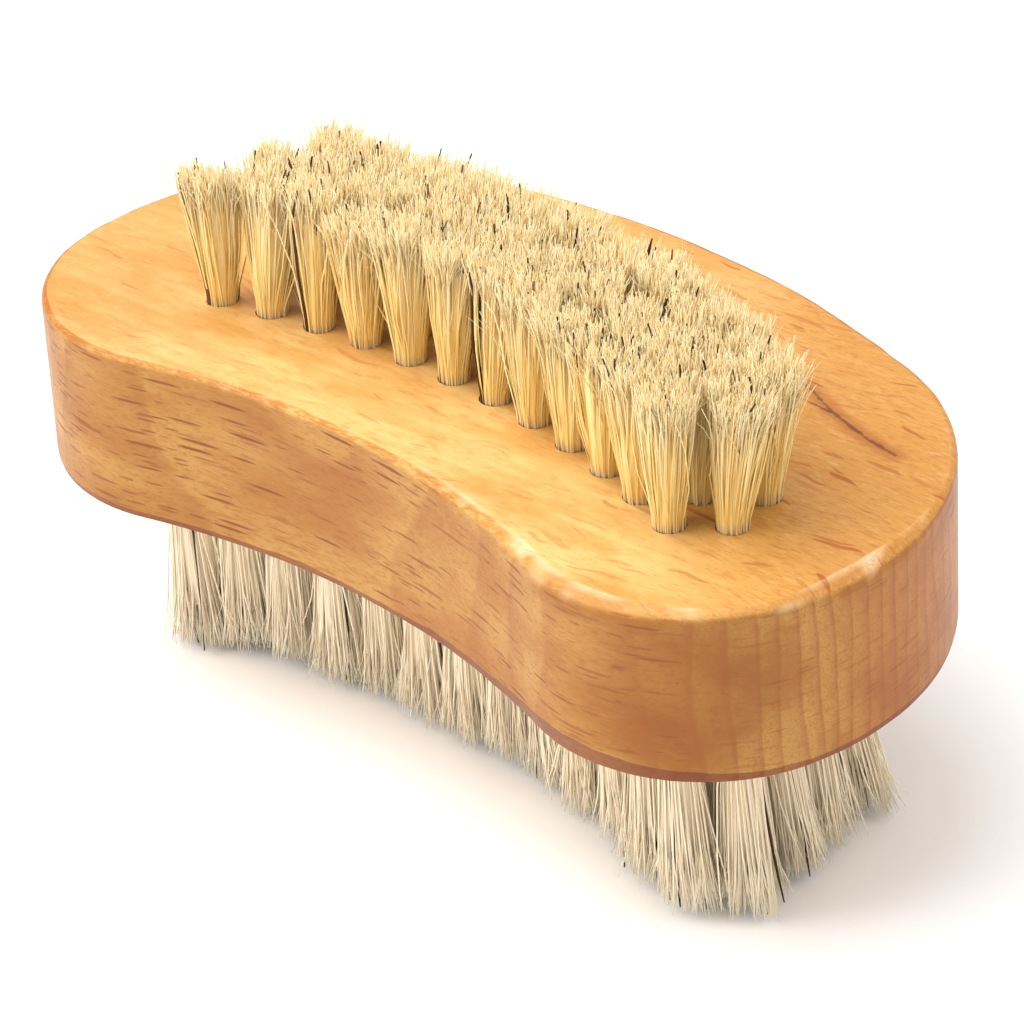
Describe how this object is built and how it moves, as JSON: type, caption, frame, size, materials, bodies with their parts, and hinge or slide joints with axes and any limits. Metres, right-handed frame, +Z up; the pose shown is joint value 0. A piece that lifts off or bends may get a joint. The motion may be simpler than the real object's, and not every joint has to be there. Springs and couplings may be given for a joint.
{
  "type": "hand brush",
  "caption": "Double-sided wooden hand brush: bean-shaped beech block, short bristles above for nails and longer bristles below for hands.",
  "frame": {"origin": "middle of the bounding box, in the plane that the lower bristles' tips stand on", "axes": "+X along the block, +Y from the hollow waist to the back, +Z up from the long bristles to the short ones"},
  "size_m": [0.0948, 0.0502, 0.0516],
  "materials": {
    "beech": "oiled, satin",
    "bristle": "natural bristle, slightly glossy"
  },
  "bodies": {
    "root": {"bottom_row_2": "bristle", "bottom_row_3": "bristle", "bottom_row_4": "bristle", "bottom_row_5": "bristle", "bottom_tuft_front_01": "bristle", "bottom_tuft_front_02": "bristle", "bottom_tuft_front_03": "bristle", "bottom_tuft_front_04": "bristle", "bottom_tuft_front_05": "bristle", "bottom_tuft_front_06": "bristle", "bottom_tuft_front_07": "bristle", "bottom_tuft_front_08": "bristle", "bottom_tuft_front_09": "bristle", "bottom_tuft_front_10": "bristle", "bottom_tuft_front_11": "bristle", "bottom_tuft_front_12": "bristle", "bottom_tuft_front_13": "bristle", "top_tuft_back_01": "bristle", "top_tuft_back_02": "bristle", "top_tuft_back_03": "bristle", "top_tuft_back_04": "bristle", "top_tuft_back_05": "bristle", "top_tuft_back_06": "bristle", "top_tuft_back_07": "bristle", "top_tuft_back_08": "bristle", "top_tuft_back_09": "bristle", "top_tuft_back_10": "bristle", "top_tuft_back_11": "bristle", "top_tuft_front_01": "bristle", "top_tuft_front_02": "bristle", "top_tuft_front_03": "bristle", "top_tuft_front_04": "bristle", "top_tuft_front_05": "bristle", "top_tuft_front_06": "bristle", "top_tuft_front_07": "bristle", "top_tuft_front_08": "bristle", "top_tuft_front_09": "bristle", "top_tuft_front_10": "bristle", "top_tuft_front_11": "bristle", "top_tuft_front_12": "bristle", "top_tuft_middle_01": "bristle", "top_tuft_middle_02": "bristle", "top_tuft_middle_03": "bristle", "top_tuft_middle_04": "bristle", "top_tuft_middle_05": "bristle", "top_tuft_middle_06": "bristle", "top_tuft_middle_07": "bristle", "top_tuft_middle_08": "bristle", "top_tuft_middle_09": "bristle", "top_tuft_middle_10": "bristle", "top_tuft_middle_11": "bristle", "top_tuft_middle_12": "bristle", "wood_block": "beech"}
  },
  "joints": []
}
